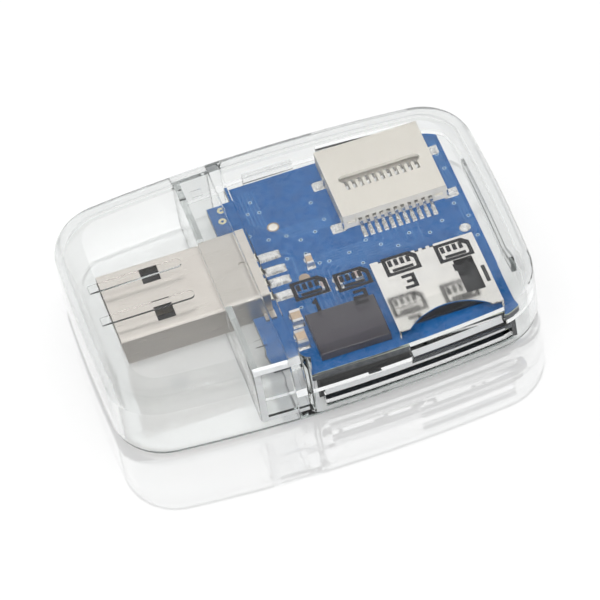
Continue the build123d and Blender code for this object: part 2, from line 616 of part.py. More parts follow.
def make_lower_shell():
    """Steel plate that closes the lower socket from below, with two openings."""
    x0 = LOWER_RIGHT - LOWER_WIDTH
    shell = block(x0, LOWER_RIGHT, LOWER_FRONT_Y, LOWER_BACK_Y, LOWER_Z, LOWER_Z + SHEET)
    for side in (-1, 1):
        place = Pos(LOWER_MID + side * LOWER_WIDTH / 4, LOWER_FRONT_Y + LOWER_DEPTH / 2, LOWER_Z)
        shell -= place * Box(LOWER_BACK, LOWER_DEPTH / 2, 4 * SHEET)
    return shell


def make_lower_contact(x):
    """Spring contact under the roof of the lower socket, with a foot on the board's underside."""
    foot_z = BOARD_Z - SHEET / 2
    arm_z = BOARD_Z - LOWER_ROOF - SHEET / 2
    root_y = LOWER_BACK_Y - LOWER_BACK
    crest_y = root_y - LOWER_PIN_REACH
    points = [
        (LOWER_BACK_Y + LOWER_LEAD, foot_z),
        (LOWER_BACK_Y, foot_z),
        (LOWER_BACK_Y - SHEET, arm_z),
        (root_y, arm_z),
        (crest_y, arm_z - LOWER_PIN_DROP),
    ]
    return strip(points, SHEET, x, LOWER_PIN_WIDTH)


def numbered(name, solids):
    """Names for a row of like pieces, counted from one."""
    return {f"{name}_{index}": solid for index, solid in enumerate(solids, start=1)}


def make_pieces():
    """Every piece of the reader by name."""
    outside = rounded(form(0), TOP_EDGE_RADIUS, BOTTOM_EDGE_RADIUS)
    inside = form(WALL)
    body = make_body(outside, inside)
    pieces = {
        "cap": make_cap(outside, inside),
        "top_case": make_top_case(body),
        "bottom_case": make_bottom_case(body, outside),
        "circuit_board": make_board(),
        "plug_shell": make_plug_shell(),
        "plug_tongue": make_plug_tongue(),
        "rear_socket_housing": make_rear_housing(),
        "front_socket_base": make_front_base(),
        "front_socket_shell": make_front_shell(),
        "lower_socket_frame": make_lower_frame(),
        "lower_socket_shell": make_lower_shell(),
        "controller_chip": make_chip(),
    }
    pins = zip(PIN_OFFSETS, PIN_SETBACKS)
    pieces |= numbered("plug_contact", [make_plug_contact(offset, setback) for offset, setback in pins])
    rear_row = row(REAR_PINS, REAR_PITCH, REAR_MID)
    pieces |= numbered("rear_socket_contact", [make_rear_contact(x) for x in rear_row])
    tabs = [make_rear_tab(side, setback) for side in (-1, 1) for setback in REAR_TAB_SETBACKS]
    pieces |= numbered("rear_socket_tab", tabs)
    front_row = row(FRONT_PINS, FRONT_PITCH, FRONT_PIN_MID)
    pieces |= numbered("front_socket_contact", [make_front_contact(x) for x in front_row])
    lower_row = row(LOWER_PINS, LOWER_PITCH, LOWER_MID)
    pieces |= numbered("lower_socket_contact", [make_lower_contact(x) for x in lower_row])
    capacitors = [make_two_terminal(place, CAPACITOR_SIZE) for place in CAPACITOR_PLACES]
    pieces |= numbered("capacitor", [*capacitors, make_two_terminal(BYPASS_PLACE, BYPASS_SIZE)])
    pieces |= numbered("resistor", [make_two_terminal(place, RESISTOR_SIZE) for place in RESISTOR_PLACES])
    return pieces


os.makedirs("parts", exist_ok=True)
for name, solid in make_pieces().items():
    export_step(solid, f"parts/{name}.step")
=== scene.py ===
import logging
from dataclasses import dataclass
from enum import Enum
from typing import Iterable, Sequence

import bpy
import numpy as np
from mathutils import Matrix, Vector


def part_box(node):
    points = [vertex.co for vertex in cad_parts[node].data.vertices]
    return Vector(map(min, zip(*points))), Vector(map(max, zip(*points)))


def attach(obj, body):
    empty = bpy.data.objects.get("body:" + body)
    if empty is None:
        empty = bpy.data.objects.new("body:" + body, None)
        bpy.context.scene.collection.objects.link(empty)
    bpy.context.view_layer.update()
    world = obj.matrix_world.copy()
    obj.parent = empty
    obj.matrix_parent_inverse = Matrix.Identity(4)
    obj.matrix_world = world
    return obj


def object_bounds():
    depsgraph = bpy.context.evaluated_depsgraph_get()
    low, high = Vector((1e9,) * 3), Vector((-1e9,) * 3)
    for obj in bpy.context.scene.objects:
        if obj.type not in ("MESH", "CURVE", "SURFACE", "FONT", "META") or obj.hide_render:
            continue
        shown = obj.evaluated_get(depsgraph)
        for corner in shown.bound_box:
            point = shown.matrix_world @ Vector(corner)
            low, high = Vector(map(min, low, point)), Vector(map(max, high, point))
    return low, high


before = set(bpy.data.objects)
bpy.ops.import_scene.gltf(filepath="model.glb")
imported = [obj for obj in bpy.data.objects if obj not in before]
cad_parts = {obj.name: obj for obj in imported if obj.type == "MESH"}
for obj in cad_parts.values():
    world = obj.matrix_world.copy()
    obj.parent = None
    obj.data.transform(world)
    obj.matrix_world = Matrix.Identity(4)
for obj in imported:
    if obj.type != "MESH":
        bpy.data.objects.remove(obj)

LOG = logging.getLogger("card_reader")
MM = 0.001
CAD_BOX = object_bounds()
SIDE_RADIUS = 190.0
NEARLY_ZERO = 1e-4

Colour = tuple[float, float, float]
Pair = tuple[float, float]
Triple = tuple[float, float, float]
Path = list[Pair]
Socket = bpy.types.NodeSocket
Material = bpy.types.Material


class Axis(Enum):
    """Direction in the object's own frame, as an index into a point."""

    X = 0
    Y = 1
    Z = 2


class Body(Enum):
    """The two rigid groups of the reader."""

    READER = "reader"
    CAP = "cap"


# Finishes


def scaled(colour: Colour, share: float) -> Colour:
    """Return a colour with each part multiplied by a share."""
    return tuple(share * part for part in colour)


class Graph:
    """The node tree of one material, or of the world, with short calls to add and join nodes."""

    def __init__(self, name: str, world: bool = False) -> None:
        """Start an empty tree for a new material, or for a new world, of that name."""
        self.owner = (bpy.data.worlds if world else bpy.data.materials).new(name)
        self.owner.use_nodes = True
        self.tree = self.owner.node_tree
        self.tree.nodes.clear()
        self.output = self.tree.nodes.new("ShaderNodeOutputWorld" if world else "ShaderNodeOutputMaterial")

    def feed(self, target: Socket, value: object) -> None:
        """Link an output socket to an input socket, or set the input's own fixed value."""
        if isinstance(value, Socket):
            self.tree.links.new(value, target)
        else:
            target.default_value = (*value, 1.0) if target.type == "RGBA" else value

    def add(
        self, kind: str, inputs: dict[str | int, object] | None = None, key: str | int = 0, **settings: object
    ) -> Socket:
        """Add a node, set it up and return one of its outputs.

        Args:
            kind: The node type without its ShaderNode prefix.
            inputs: Fixed values or sockets, by the name or number of the input that they go to.
            key: Name or number of the output.
            settings: Plain properties of the node, such as operation.

        Returns:
            The output socket.
        """
        node = self.tree.nodes.new("ShaderNode" + kind)
        for name, value in settings.items():
            setattr(node, name, value)
        for name, value in (inputs or {}).items():
            self.feed(node.inputs[name], value)
        return node.outputs[key]

    def place(self) -> Socket:
        """Return the object's own coordinates, in metres."""
        return self.add("TexCoord", key="Object")

    def along(self, axis: Axis) -> Socket:
        """Return the object's own coordinate along one axis, in metres."""
        return self.add("SeparateXYZ", {"Vector": self.place()}, axis.value)

    def noise(self, scale: float, detail: float = 3.0, stretch: Sequence[float] = (1, 1, 1)) -> Socket:
        """Add a noise pattern.

        Args:
            scale: Cells per metre.
            detail: Octaves of finer noise.
            stretch: Multiplier of each axis before the noise.

        Returns:
            The grey output of the noise.
        """
        place = self.add("Mapping", {"Scale": tuple(stretch), "Vector": self.place()})
        return self.add("TexNoise", {"Scale": scale, "Detail": detail, "Vector": place}, "Fac")

    def span(self, source: Socket, low: float = 0.0, high: float = 1.0, reach: Pair = (0.3, 0.7)) -> Socket:
        """Carry a reach of a grey socket onto a span of numbers.

        Args:
            source: The grey socket.
            low: First number of the span.
            high: Last number of the span.
            reach: Greys that become these numbers, at first the middle of a noise's reach.

        Returns:
            The socket with the numbers.
        """
        ends = {"From Min": reach[0], "From Max": reach[1], "To Min": low, "To Max": high}
        return self.add("MapRange", {"Value": source, **ends}, "Result")

    def blend(self, factor: Socket, first: Colour | Socket, second: Colour | Socket) -> Socket:
        """Mix two colours, fixed or from sockets, by a grey socket.

        Args:
            factor: The grey socket.
            first: Colour where the grey is 0.
            second: Colour where the grey is 1.

        Returns:
            The mixed colour.
        """
        node = self.add("Mix", {"Factor": factor}, data_type="RGBA").node
        targets = [socket for socket in node.inputs if socket.type == "RGBA"]
        for target, colour in zip(targets, (first, second)):
            self.feed(target, colour)
        return next(socket for socket in node.outputs if socket.type == "RGBA")

    def either(self, share: Socket, first: Socket, second: Socket) -> Socket:
        """Mix two shaders by a grey socket."""
        return self.add("MixShader", {0: share, 1: first, 2: second})

    def math(self, operation: str, first: Socket, second: float = 0.0) -> Socket:
        """Work out one number from a socket and a fixed number."""
        return self.add("Math", {0: first, 1: second}, operation=operation)

    def upright(self) -> Socket:
        """Return 1 on faces that stand upright and 0 on level ones."""
        lift = self.add("SeparateXYZ", {"Vector": self.add("NewGeometry", key="Normal")}, Axis.Z.value)
        return self.math("LESS_THAN", self.math("ABSOLUTE", lift), 0.5)

    def bump(self, height: Socket, strength: float, distance: float) -> Socket:
        """Turn a grey pattern into a bumped normal."""
        return self.add("Bump", {"Strength": strength, "Distance": distance, "Height": height})

    def shade(self, surface: Socket) -> Material | bpy.types.World:
        """Put a shader on the surface output and return the finished material or world."""
        self.feed(self.output.inputs["Surface"], surface)
        return self.owner

    def principled(self, inputs: dict[str, object]) -> Material:
        """Finish with one principled shader and return the material."""
        return self.shade(self.add("BsdfPrincipled", inputs))


@dataclass(frozen=True)
class ClearPlastic:
    """Polished clear moulding: it refracts, is faintly uneven, and greys light on a long way through it.

    Where it faces the viewer, only a share of its mirror light is kept, the gloss. It grows to the whole
    between the two Fresnel shares of the turning.
    """

    name: str
    tint: Colour = (0.945, 0.948, 0.946)
    index: float = 1.5
    shadow: Colour = (0.95, 0.95, 0.95)
    depth: Colour = (0.62, 0.67, 0.66)
    density: float = 50.0
    gloss: float = 0.6
    turning: Pair = (0.15, 0.4)
    haze: Pair = (0.0, 0.03)
    haze_pitch: float = 900.0
    flow: Pair = (0.02, 0.0002)
    flow_pitch: float = 110.0
    flow_stretch: Triple = (1.0, 0.5, 1.0)

    def material(self) -> Material:
        """Return the material."""
        graph = Graph(self.name)
        flow = graph.bump(graph.noise(self.flow_pitch, 1.0, self.flow_stretch), *self.flow)
        haze = graph.span(graph.noise(self.haze_pitch, 4.0), *self.haze)
        common = {"IOR": self.index, "Roughness": haze, "Normal": flow}
        body = graph.add("BsdfPrincipled", {**common, "Base Color": self.tint, "Transmission Weight": 1.0})
        through = graph.add("BsdfRefraction", {**common, "Color": np.sqrt(self.tint)})
        mirror = graph.add("Fresnel", {"IOR": self.index, "Normal": flow}, "Fac")
        clear = graph.either(graph.span(mirror, self.gloss, 1.0, self.turning), through, body)
        passing = graph.add("BsdfTransparent", {"Color": self.shadow})
        inside = graph.add("VolumeAbsorption", {"Color": self.depth, "Density": self.density})
        graph.feed(graph.output.inputs["Volume"], inside)
        return graph.shade(graph.either(graph.add("LightPath", key="Is Shadow Ray"), clear, passing))


@dataclass(frozen=True)
class SolderMask:
    """Glossy coloured mask on the faces of a board, over a dark core that shows a pale skin at its edges."""

    name: str
    mask: Colour
    deep: Colour
    core: Colour
    skin: Colour
    skin_level: float
    weave: float = 700.0
    fibre: float = 2500.0
    fibre_stretch: Triple = (1.0, 1.0, 0.2)
    core_fibre: float = 1.4
    skin_fibre: float = 0.8
    sheen: float = 0.3
    rough: Pair = (0.22, 0.34)
    rough_pitch: float = 1500.0
    grain: Pair = (0.06, 0.00005)
    grain_pitch: float = 3500.0

    def material(self) -> Material:
        """Return the material."""
        graph = Graph(self.name)
        faces = graph.blend(graph.span(graph.noise(self.weave, 4.0)), self.deep, self.mask)
        fibre = graph.span(graph.noise(self.fibre, 2.0, self.fibre_stretch))
        core = graph.blend(fibre, self.core, scaled(self.core, self.core_fibre))
        skin = graph.blend(fibre, self.skin, scaled(self.skin, self.skin_fibre))
        edges = graph.blend(graph.math("GREATER_THAN", graph.along(Axis.Z), self.skin_level), core, skin)
        return graph.principled({
            "Base Color": graph.blend(graph.upright(), faces, edges),
            "Specular IOR Level": self.sheen,
            "Roughness": graph.span(graph.noise(self.rough_pitch), *self.rough),
            "Normal": graph.bump(graph.noise(self.grain_pitch), *self.grain),
        })


@dataclass(frozen=True)
class SheetMetal:
    """Rolled or plated metal with a grain along one axis; its upright faces can carry painted shade, their
    colours scaled by a share.
    """

    name: str
    base: Colour
    dull: Colour
    rough: Pair
    grain: Axis = Axis.X
    pitch: float = 9000.0
    # share of the colour on upright faces; below 1 it paints shade on the sides
    upright: float = 1.0
    drawn: float = 0.04
    cloud: float = 350.0
    relief: Pair = (0.02, 0.00001)

    def material(self) -> Material:
        """Return the material."""
        graph = Graph(self.name)
        stretch = [1.0, 1.0, 1.0]
        stretch[self.grain.value] = self.drawn
        lines = graph.noise(self.pitch, 2.0, stretch)
        cloud = graph.span(graph.noise(self.cloud))
        # painted shade: upright faces get the colours scaled by the upright share
        level, sides = (
            graph.blend(cloud, scaled(self.dull, share), scaled(self.base, share))
            for share in (1.0, self.upright)
        )
        return graph.principled({
            "Base Color": graph.blend(graph.upright(), level, sides),
            "Metallic": 1.0,
            "Roughness": graph.span(lines, *self.rough),
            "Normal": graph.bump(lines, *self.relief),
        })


@dataclass(frozen=True)
class TinnedMetal:
    """Tin or solder that has flowed: bright, with soft uneven waves."""

    name: str
    base: Colour = (0.86, 0.85, 0.83)
    dull: Colour = (0.6, 0.6, 0.6)
    wave: float = 1400.0
    depth: float = 0.3
    height: float = 0.0003
    rough: Pair = (0.14, 0.32)

    def material(self) -> Material:
        """Return the material."""
        graph = Graph(self.name)
        cloud = graph.noise(self.wave)
        return graph.principled({
            "Base Color": graph.blend(graph.span(cloud), self.dull, self.base),
            "Metallic": 1.0,
            "Roughness": graph.span(graph.noise(2.0 * self.wave), *self.rough),
            "Normal": graph.bump(cloud, self.depth, self.height),
        })


@dataclass(frozen=True)
class MouldedPlastic:
    """Filled moulding compound: a fine speckle, a soft sheen and a faint grain."""

    name: str
    base: Colour
    speck: Colour
    rough: Pair = (0.38, 0.52)
    pitch: float = 4000.0
    relief: Pair = (0.15, 0.00004)

    def material(self) -> Material:
        """Return the material."""
        graph = Graph(self.name)
        fleck = graph.noise(self.pitch, 4.0)
        return graph.principled({
            "Base Color": graph.blend(graph.span(fleck), self.base, self.speck),
            "Roughness": graph.span(graph.noise(0.4 * self.pitch), *self.rough),
            "Normal": graph.bump(fleck, *self.relief),
        })


@dataclass(frozen=True)
class TwoTerminal:
    """Chip part: a ceramic body between two tinned ends, told apart by the distance from its middle."""

    name: str
    body: Colour
    fleck: Colour
    middle: float
    reach: float
    axis: Axis
    tin: tuple[Colour, Colour] = ((0.72, 0.7, 0.69), (0.88, 0.86, 0.84))
    pitch: float = 5000.0
    rough: Pair = (0.25, 0.45)
    relief: Pair = (0.2, 0.00005)

    def material(self) -> Material:
        """Return the material."""
        graph = Graph(self.name)
        apart = graph.math("ABSOLUTE", graph.math("SUBTRACT", graph.along(self.axis), self.middle))
        ends = graph.math("GREATER_THAN", apart, self.reach)
        cloud = graph.span(graph.noise(self.pitch))
        ceramic = graph.blend(cloud, self.body, self.fleck)
        return graph.principled({
            "Base Color": graph.blend(ends, ceramic, graph.blend(cloud, *self.tin)),
            "Metallic": ends,
            "Roughness": graph.span(graph.noise(0.6 * self.pitch), *self.rough),
            "Normal": graph.bump(cloud, *self.relief),
        })


@dataclass(frozen=True)
class PrintInk:
    """Opaque screen ink with a slightly uneven film."""

    name: str
    base: Colour = (0.012, 0.012, 0.014)
    thin: Colour = (0.03, 0.03, 0.034)
    pitch: float = 5000.0
    rough: Pair = (0.35, 0.55)

    def material(self) -> Material:
        """Return the material."""
        graph = Graph(self.name)
        film = graph.noise(self.pitch, 4.0)
        return graph.principled({
            "Base Color": graph.blend(graph.span(film), self.base, self.thin),
            "Roughness": graph.span(film, *self.rough),
        })


@dataclass(frozen=True)
class TableTop:
    """Glossy white acrylic sheet, lit from below, that the reader lies on."""

    name: str
    base: Colour = (0.52, 0.52, 0.52)
    light: Colour = (1.0, 1.0, 1.0)
    glow: float = 0.29
    index: float = 3.3
    rough: float = 0.05

    def material(self) -> Material:
        """Return the material."""
        return Graph(self.name).principled({
            "Base Color": self.base,
            "Emission Color": self.light,
            "Emission Strength": self.glow,
            "IOR": self.index,
            "Roughness": self.rough,
        })


# Surfaces on a grid


@dataclass
class Surface:
    """Points and faces of one or more grids, gathered into a single mesh."""

    points: np.ndarray
    faces: np.ndarray
    crease: float = 0.6

    @staticmethod
    def from_grids(grids: np.ndarray, wrap: bool = False) -> "Surface":
        """Face a stack of grids of points.

        Args:
            grids: Array of shape (count, rows, columns, 3).
            wrap: Whether the last column joins the first.

        Returns:
            All the grids as one surface, with four-sided faces.
        """
        count, rows, columns, _ = grids.shape
        index = np.arange(count * rows * columns).reshape(count, rows, columns)
        if wrap:
            index = np.concatenate([index, index[:, :, :1]], axis=2)
        corners = (index[:, :-1, :-1], index[:, :-1, 1:], index[:, 1:, 1:], index[:, 1:, :-1])
        return Surface(grids.reshape(-1, 3), np.stack(corners, axis=-1).reshape(-1, 4))

    @staticmethod
    def swept(grid: np.ndarray) -> "Surface":
        """Face a row of closed sections, and close each end to the middle of its section.

        Args:
            grid: Array of shape (sections, corners, 3) in millimetres.

        Returns:
            The closed surface, in metres.
        """
        ends = np.broadcast_to(grid[[0, -1]].mean(axis=1, keepdims=True), (2, *grid.shape[1:]))
        return Surface.from_grids(np.concatenate([ends[:1], grid, ends[1:]])[None] * MM, wrap=True)

    @staticmethod
    def gather(parts: Iterable["Surface"]) -> "Surface":
        """Put several surfaces into one."""
        parts = list(parts)
        starts = np.cumsum([0] + [len(part.points) for part in parts[:-1]])
        points = np.concatenate([part.points for part in parts])
        faces = np.concatenate([part.faces + start for part, start in zip(parts, starts)])
        return Surface(points, faces)

    def solid(self, name: str, finish: Material) -> bpy.types.Object:
        """Make the Blender object, smooth but for its creases, and put it into the scene.

        Args:
            name: Name of the object.
            finish: Material of the object.

        Returns:
            The new object.
        """
        mesh = bpy.data.meshes.new(name)
        mesh.from_pydata(self.points.tolist(), [], self.faces.tolist())
        mesh.polygons.foreach_set("use_smooth", np.ones(len(mesh.polygons), dtype=bool))
        mesh.set_sharp_from_angle(angle=self.crease)
        mesh.materials.append(finish)
        mesh.update()
        solid = bpy.data.objects.new(name, mesh)
        bpy.context.scene.collection.objects.link(solid)
        return solid

    def piece(self, name: str, finish: Material, slot: str, body: Body = Body.READER) -> None:
        """Make a piece of the reader, let it ride on a body and log it.

        Args:
            name: Name of the piece.
            finish: Material of the piece.
            slot: Not used; it names the material slot of the record that the piece belongs to.
            body: Body that it moves with.
        """
        piece = self.solid(name, finish)
        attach(piece, body.value)
        LOG.info("piece %s: %d faces", name, len(self.faces))


def crowned(centres: np.ndarray, sizes: np.ndarray, base: float, height: float, steps: int = 7) -> Surface:
    """Make low pillows, such as solder on pads.

    With u and v from -1 to 1 across a pad, a point lies at the centre plus u and v times half the size, and
    stands (1 - u^4)(1 - v^4) times the height above the base.

    Args:
        centres: Array (count, 2) of middles in millimetres.
        sizes: Array (count, 2) of sizes along X and Y in millimetres.
        base: Level of the rim in millimetres.
        height: Rise of the middle in millimetres.
        steps: Points along each side.

    Returns:
        The surface, in metres.
    """
    u, v = np.meshgrid(np.linspace(-1, 1, steps), np.linspace(-1, 1, steps))
    x = centres[:, 0, None, None] + u * sizes[:, 0, None, None] / 2
    y = centres[:, 1, None, None] + v * sizes[:, 1, None, None] / 2
    z = np.broadcast_to(base + height * (1 - u**4) * (1 - v**4), x.shape)
    return Surface.from_grids(np.stack([x, y, z], axis=-1) * MM)


def turned(centres: Sequence[Pair] | Pair, radius: np.ndarray, level: np.ndarray, around: int) -> Surface:
    """Turn a profile round an upright axis at one or more places.

    With an angle a round the axis, a point of the profile lies at the centre plus its radius times
    (cos a, sin a), at its level.

    Args:
        centres: One middle or more, in millimetres.
        radius: Radii of the profile from the rim inwards, in millimetres.
        level: Levels of the profile, in millimetres.
        around: Points round the axis.

    Returns:
        The surface, in metres.
    """
    middles = np.reshape(centres, (-1, 2))
    angle = np.linspace(0, 2 * np.pi, around, endpoint=False)
    x = middles[:, 0, None, None] + radius[:, None] * np.cos(angle)
    y = middles[:, 1, None, None] + radius[:, None] * np.sin(angle)
    z = np.broadcast_to(level[None, :, None], x.shape)
    return Surface.from_grids(np.stack([x, y, z], axis=-1) * MM, wrap=True)


def rings(centres: Sequence[Pair] | Pair, radii: Pair, base: float, height: float) -> Surface:
    """Make low rings, such as plated holes under the mask.

    With s from 0 to 1 across a ring, a point lies at the inner radius plus s times the ring's width, and
    stands 4 s (1 - s) times the height above the base.

    Args:
        centres: One middle or more, in millimetres.
        radii: Inner and outer radius in millimetres.
        base: Level of the rims in millimetres.
        height: Rise of the crown in millimetres.

    Returns:
        The surface, in metres.
    """
    inner, outer = radii
    share = np.linspace(1, 0, 4)
    return turned(centres, inner + share * (outer - inner), base + height * 4 * share * (1 - share), 20)


def discs(centres: Sequence[Pair] | Pair, radius: float, base: float, height: float) -> Surface:
    """Make low round heads.

    With s from 0 at the middle to 1 at the rim, a point lies at s times the radius and stands (1 - s^4) times
    the height above the base.

    Args:
        centres: One middle or more, in millimetres.
        radius: Radius of the rim in millimetres.
        base: Level of the rim in millimetres.
        height: Rise of the middle in millimetres.

    Returns:
        The surface, in metres.
    """
    share = np.linspace(1, 0, 6)
    return turned(centres, radius * share, base + height * (1 - share**4), 28)


def ribbon(path: Sequence[Pair], width: float, base: float, height: float) -> Surface:
    """Make a flat band along a path of points, with mitred bends.

    Each point of the path is moved sideways along its mean normal by s times half the width, divided by the
    cosine of half the bend, and stands (1 - s^2) times the height above the base, for s from -1 to 1.

    Args:
        path: Points in millimetres.
        width: Width of the band in millimetres.
        base: Level of the band's edges in millimetres.
        height: Rise of its middle in millimetres.

    Returns:
        The surface, in metres.
    """
    line = np.asarray(path, dtype=float)
    along = np.diff(line, axis=0)
    along /= np.linalg.norm(along, axis=1, keepdims=True)
    after = np.vstack([along, along[-1:]])
    mean = np.vstack([along[:1], along]) + after
    mean /= np.linalg.norm(mean, axis=1, keepdims=True)
    normal = np.stack([-mean[:, 1], mean[:, 0]], axis=1)
    stretch = 1 / np.maximum((mean * after).sum(axis=1), 0.5)
    share = np.linspace(-1, 1, 3)
    flat = line + share[:, None, None] * (normal * stretch[:, None]) * width / 2
    z = np.broadcast_to((base + height * (1 - share**2))[:, None], flat.shape[:2])
    return Surface.from_grids(np.concatenate([flat, z[..., None]], axis=-1)[None] * MM)


def card_reach(angle: np.ndarray, half: Pair, cut: float) -> np.ndarray:
    """Return the distance from the middle of a card with one cut corner to its outline, by angle.

    It is the least of the distances to the two pairs of sides and to the slanting corner.

    Args:
        angle: Directions in radians.
        half: Half sizes in millimetres.
        cut: Size of the cut corner in millimetres.

    Returns:
        The distances in millimetres.
    """
    across = half[0] / np.maximum(np.abs(np.cos(angle)), NEARLY_ZERO)
    upward = half[1] / np.maximum(np.abs(np.sin(angle)), NEARLY_ZERO)
    slant = np.maximum(np.cos(angle) + np.sin(angle), NEARLY_ZERO)
    return np.minimum(np.minimum(across, upward), (half[0] + half[1] - cut) / slant)


def card_angles(half: Pair, cut: float, count: int = 60, offset: float = 0.01) -> np.ndarray:
    """Return angles round a card that hit each of its corners and lie close between them."""
    a, b = half
    corners = np.array([(a, b - cut), (a - cut, b), (-a, b), (-a, -b), (a, -b)])
    exact = np.arctan2(corners[:, 1], corners[:, 0])
    return np.sort(np.concatenate([np.linspace(-np.pi, np.pi, count, endpoint=False) + offset, exact]))


def card_ring(centre: Pair, half: Pair, cut: float, line: float, level: float) -> Surface:
    """Make the outline of a card with one cut corner as a flat frame.

    With an angle round the card and s from 0 to 1, a point lies at the outline's reach less s times the line.

    Args:
        centre: Middle of the card in millimetres.
        half: Half sizes in millimetres.
        cut: Size of the cut corner in millimetres.
        line: Width of the line in millimetres.
        level: Level of the frame in millimetres.

    Returns:
        The surface, in metres.
    """
    angle = card_angles(half, cut)
    inner = (half[0] - line, half[1] - line)
    reach = np.stack([card_reach(angle, half, cut), card_reach(angle, inner, cut)])
    x = centre[0] + reach * np.cos(angle)
    y = centre[1] + reach * np.sin(angle)
    return Surface.from_grids(np.stack([x, y, np.full_like(x, level)], axis=-1)[None] * MM, wrap=True)


@dataclass(frozen=True)
class CasePlan:
    """Plan outline of the case, by the direction that it faces and by how far it is moved inwards.

    The sides, ends and corners are arcs. A point that faces the angle a lies at the middle of its arc plus
    the arc's radius, less the inset, times (cos a, sin a).
    """

    length: float
    width: float
    side: float = SIDE_RADIUS
    end: float = 260.0
    corner: float = 7.1
    steps: tuple[int, int, int] = (10, 22, 8)

    def corner_middle(self) -> np.ndarray:
        """Return the middle of the corner arc, which touches the side arc and the end arc from inside."""
        place = np.array([self.length / 2 - self.corner, self.width / 2 - self.corner])
        middles = np.array([[0.0, self.width / 2 - self.side], [self.length / 2 - self.end, 0.0]])
        reach = np.array([self.side, self.end]) - self.corner
        for _ in range(8):
            apart = place - middles
            far = np.linalg.norm(apart, axis=1)
            place = place - np.linalg.solve(apart / far[:, None], far - reach)
        return place

    def corner_turns(self) -> Pair:
        """Return the directions in which the corner arc meets the end arc and the side arc."""
        x, y = self.corner_middle()
        to_end = np.arctan2(y, x - self.length / 2 + self.end)
        to_side = np.arctan2(y - self.width / 2 + self.side, x)
        return to_end, to_side

    def points(self, angle: np.ndarray, inset: np.ndarray) -> np.ndarray:
        """Return outline points of the half with positive X.

        Args:
            angle: Directions between -90 and about 90 degrees, in radians.
            inset: Distance inwards, of a shape that goes with the angles.

        Returns:
            Array of X and Y in millimetres.
        """
        turn = np.abs(angle)
        corner = self.corner_middle()
        to_end, to_side = self.corner_turns()
        arcs = [turn < to_end, turn > to_side]
        radius = np.select(arcs, [self.end, self.side], self.corner) - inset
        x = np.select(arcs, [self.length / 2 - self.end, 0.0], corner[0])
        y = np.select(arcs, [0.0, self.width / 2 - self.side], corner[1])
        return np.stack([x + radius * np.cos(turn), (y + radius * np.sin(turn)) * np.sign(angle)], axis=-1)

    def directions(self, start: float, inset: float) -> np.ndarray:
        """Return directions from the front side, round the end, to the back side.

        Args:
            start: X place of both ends of the run, in millimetres.
            inset: Distance inwards in millimetres.

        Returns:
            The directions in radians.
        """
        to_end, to_side = self.corner_turns()
        stops = (np.arccos(start / (self.side - inset)), to_side, to_end, NEARLY_ZERO)
        runs = [np.linspace(*pair, count) for *pair, count in zip(stops, stops[1:], self.steps)]
        half = np.concatenate([runs[0][:-1], runs[1][:-1], runs[2]])
        return np.concatenate([-half, half[::-1]])


@dataclass(frozen=True)
class InnerRadius:
    """The rounded inside edge between the roof and the wall of a clear moulding.

    Its section is the spandrel between an arc and the two faces that the arc touches, carried along the
    inside of the wall. It reaches a hair into the roof and the wall, so that light passes as through one
    moulding.
    """

    plan: CasePlan
    wall: float
    roof: float
    radius: float
    bite: float = 0.01

    def section(self) -> np.ndarray:
        """Return the section as pairs of inset and level, closed and in order."""
        turn = np.linspace(0, np.pi / 2, 13)
        inset = self.wall + self.radius * (1 - np.sin(turn))
        level = self.roof - self.radius * (1 - np.cos(turn))
        low = (self.wall - self.bite, self.roof - self.radius)
        top = (self.wall - self.bite, self.roof + self.bite)
        inner = (self.wall + self.radius, self.roof + self.bite)
        return np.concatenate([np.stack([inset, level], axis=1), [low, top, inner]])[::-1]

    def round_end(self, start: float, mirror: bool) -> Surface:
        """Carry the section from the front side at an X place, round the end, to the back side."""
        return self.run(self.plan.directions(start, self.wall), mirror)

    def sides(self, start: float, stop: float, mirror: bool) -> Surface:
        """Carry the section along the two long sides only, between two X places, and gather both runs."""
        first, last = np.arccos(np.array([start, stop]) / (self.plan.side - self.wall))
        half = np.linspace(first, last, 6)
        return Surface.gather([self.run(-half, mirror), self.run(half[::-1], mirror)])

    def run(self, angle: np.ndarray, mirror: bool) -> Surface:
        """Carry the section past a row of directions of the plan.

        Args:
            angle: The directions in radians.
            mirror: Whether the run goes round the end with negative X.

        Returns:
            The surface, closed at both ends, in metres.
        """
        section = self.section()
        facing = np.broadcast_to(angle[:, None], (len(angle), len(section)))
        flat = self.plan.points(facing, section[None, :, 0])
        flat[[0, -1], :, 0] = flat[[0, -1], -1:, 0]
        level = np.broadcast_to(section[None, :, 1], flat.shape[:2])
        grid = np.concatenate([flat, level[..., None]], axis=-1)
        return Surface.swept((grid * (-1, 1, 1))[::-1] if mirror else grid)


def front_wall(x: np.ndarray, inset: np.ndarray | float) -> np.ndarray:
    """Return Y places on the arc of the front wall, moved inwards by an inset, in millimetres."""
    return CAD_BOX[0][1] / MM + SIDE_RADIUS - np.sqrt((SIDE_RADIUS - inset) ** 2 - x**2)


# Sub-assemblies


def dress(finish: Material, *nodes: str) -> None:
    """Give CAD nodes their finish and log them."""
    for node in nodes:
        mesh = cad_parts[node].data
        mesh.materials.clear()
        mesh.materials.append(finish)
        LOG.info("node %s: %s", node, finish.name)


def family(stem: str) -> list[str]:
    """Return the CAD nodes of a numbered family, in order."""
    numbers = {name: name.removeprefix(stem + "_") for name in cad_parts}
    return sorted((name for name in numbers if numbers[name].isdigit()), key=lambda name: int(numbers[name]))


def box(node: str) -> np.ndarray:
    """Return the low and the high corner of a node, in millimetres."""
    return np.array(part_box(node)) / MM


def middle(node: str) -> Pair:
    """Return the middle of a node in X and Y, in millimetres."""
    return tuple(box(node).mean(axis=0)[:2])


def top_level(node: str) -> float:
    """Return the highest level of a node, in millimetres."""
    return box(node)[1][2]


